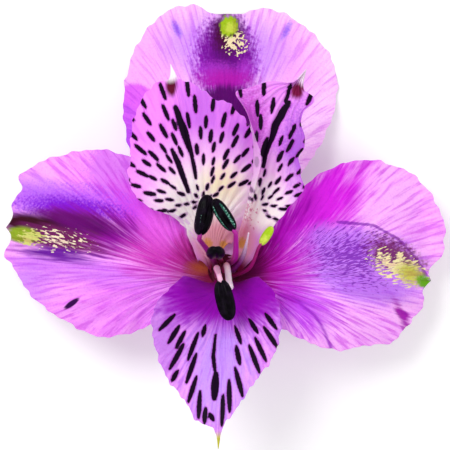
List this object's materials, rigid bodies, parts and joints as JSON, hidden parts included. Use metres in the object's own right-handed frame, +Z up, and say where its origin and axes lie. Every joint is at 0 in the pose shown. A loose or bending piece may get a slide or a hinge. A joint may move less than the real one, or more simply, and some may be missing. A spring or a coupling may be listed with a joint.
{
  "type": "cut alstroemeria bloom",
  "caption": "Cut Peruvian lily bloom lying face up, with broad outer petals, dashed inner petals, dark anthers round a pale style, and a short cut stalk bent along the surface.",
  "frame": {"origin": "middle of the bloom's footprint, on the surface that it lies on", "axes": "+Z up, out of the open face of the bloom; +Y towards the top outer petal; -Y towards the lower petal and the cut end of the stalk"},
  "size_m": [0.0864, 0.0864, 0.0318],
  "materials": {
    "outer_petal": "soft, silky petal: pale orchid pink shading to violet and magenta, with a green and cream tip",
    "upper_inner_petal": "silky petal: lilac with a cream base and near-black purple dashes along its veins",
    "lower_petal": "silky petal: lilac with a deep purple base, dark dashes and a yellow-green tip",
    "filament": "smooth moist stalk, magenta purple, paler towards its foot",
    "ripe_anther": "matt blackish purple, split open along blue-green pollen",
    "unripe_anther": "smooth lime green",
    "style": "smooth moist stalk, pink, with a white tip",
    "green_stalk": "smooth fresh green stalk, with a paler cut end"
  },
  "bodies": {
    "root": {"top_outer_petal": "outer_petal", "left_outer_petal": "outer_petal", "right_outer_petal": "outer_petal", "left_inner_petal": "upper_inner_petal", "right_inner_petal": "upper_inner_petal", "lower_petal": "lower_petal", "filament_left": "filament", "filament_right": "filament", "filament_centre": "filament", "filament_lower": "filament", "filament_bare": "filament", "filament_unripe": "filament", "anther_left": "ripe_anther", "anther_right": "ripe_anther", "anther_centre": "ripe_anther", "anther_lower": "ripe_anther", "anther_unripe": "unripe_anther", "style": "style", "ovary": "green_stalk", "cut_stalk": "green_stalk"}
  },
  "joints": []
}
